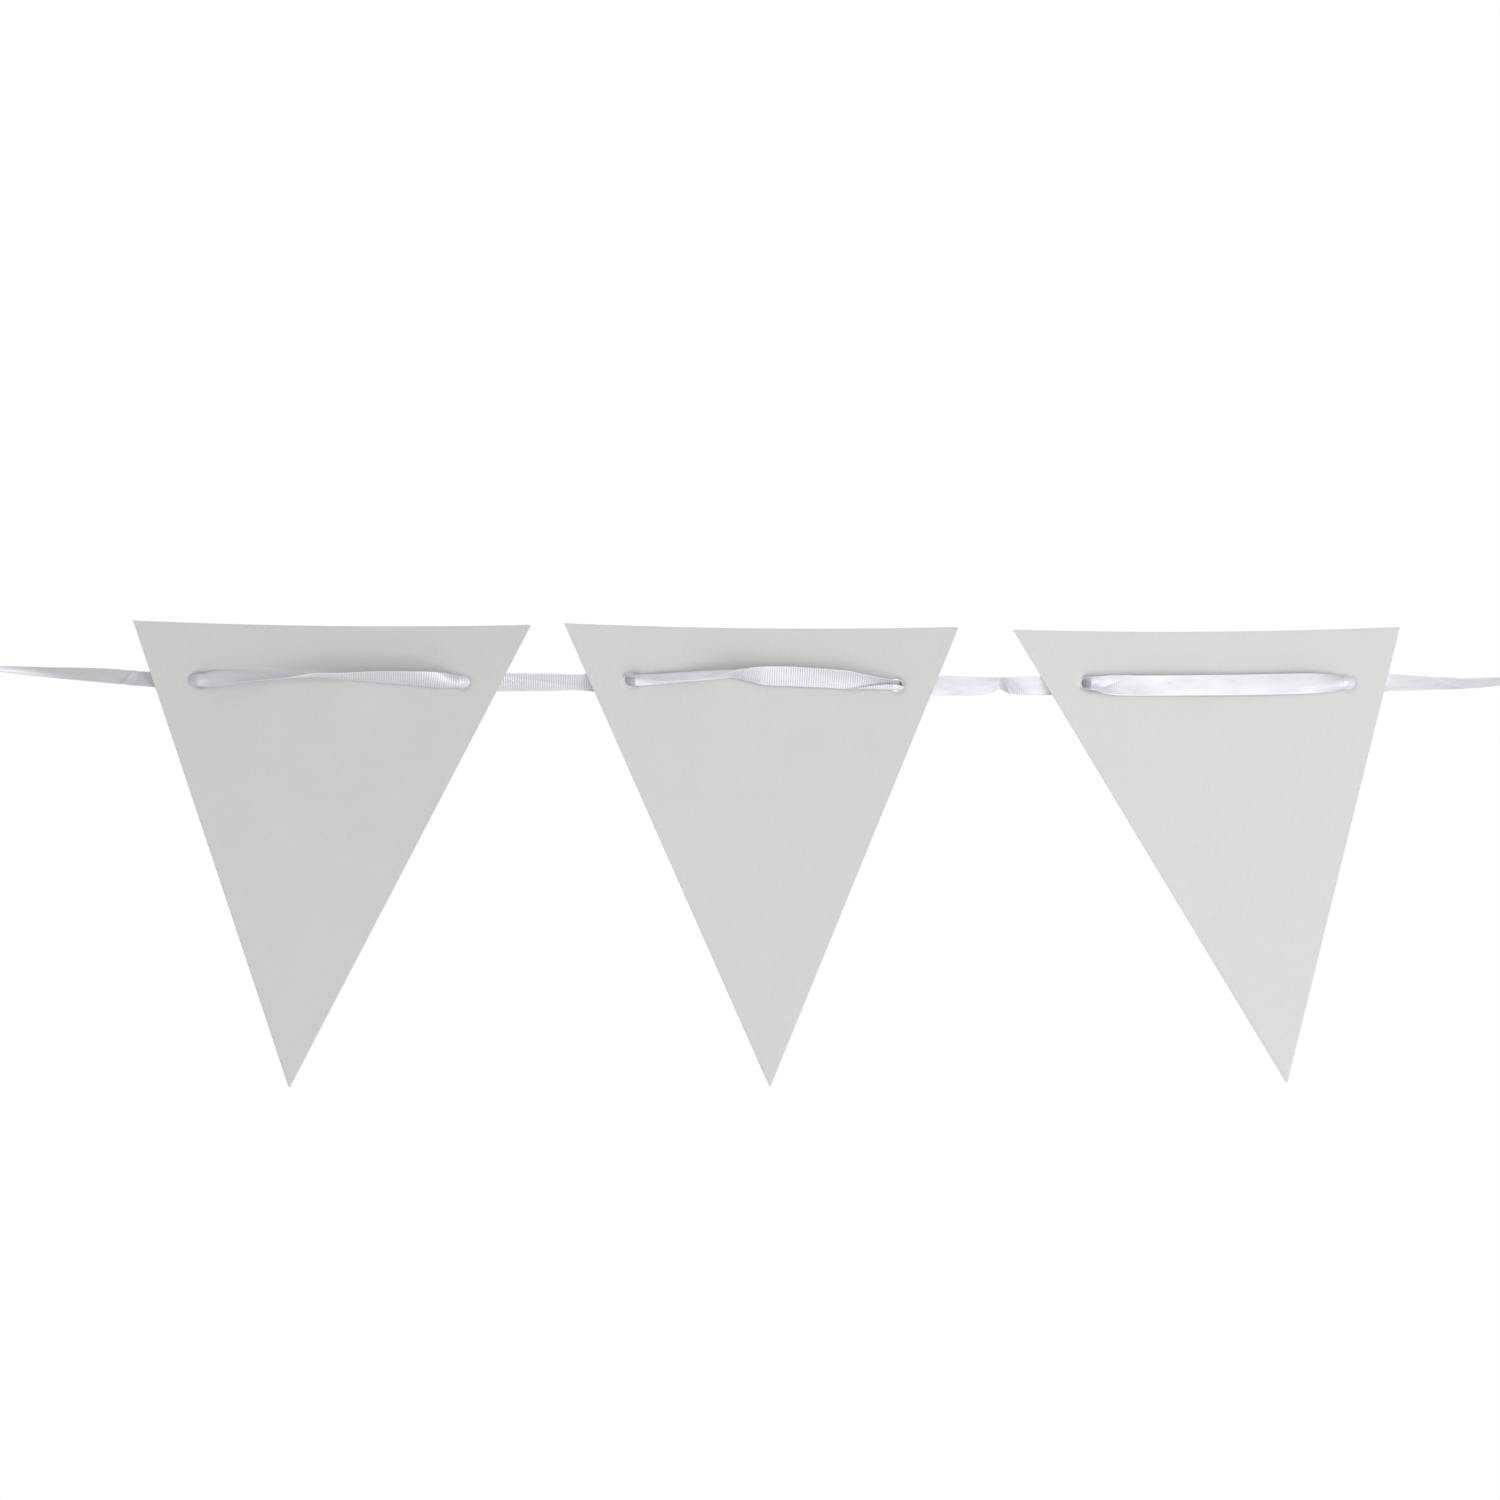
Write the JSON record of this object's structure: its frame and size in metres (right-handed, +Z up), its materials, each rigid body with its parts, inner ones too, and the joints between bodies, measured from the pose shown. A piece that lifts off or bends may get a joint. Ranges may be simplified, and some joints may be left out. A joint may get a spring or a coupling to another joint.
{
  "type": "card pennant bunting on a ribbon",
  "caption": "Triangular card pennants of uneven hand-cut shape, threaded through punched holes on a narrow white satin ribbon that ends in knotted hanging loops.",
  "frame": {"origin": "middle of the straight line between the two hanging loops' eyes", "axes": "+X along the ribbon to the viewer's right, +Z up, -Y out of the pennants' fronts"},
  "size_m": [0.8354, 0.0169, 0.2224],
  "materials": {
    "card": "matte warm light grey card, about 0.4 mm thick, unprinted",
    "satin_ribbon": "white narrow satin ribbon with fine cross ribs and woven edges"
  },
  "bodies": {
    "root": {"pennant_left": "card", "pennant_middle": "card", "pennant_right": "card", "ribbon": "satin_ribbon", "knot_left": "satin_ribbon", "knot_right": "satin_ribbon", "tail_left": "satin_ribbon", "tail_right": "satin_ribbon", "loop_left": "satin_ribbon", "loop_right": "satin_ribbon"}
  },
  "joints": []
}
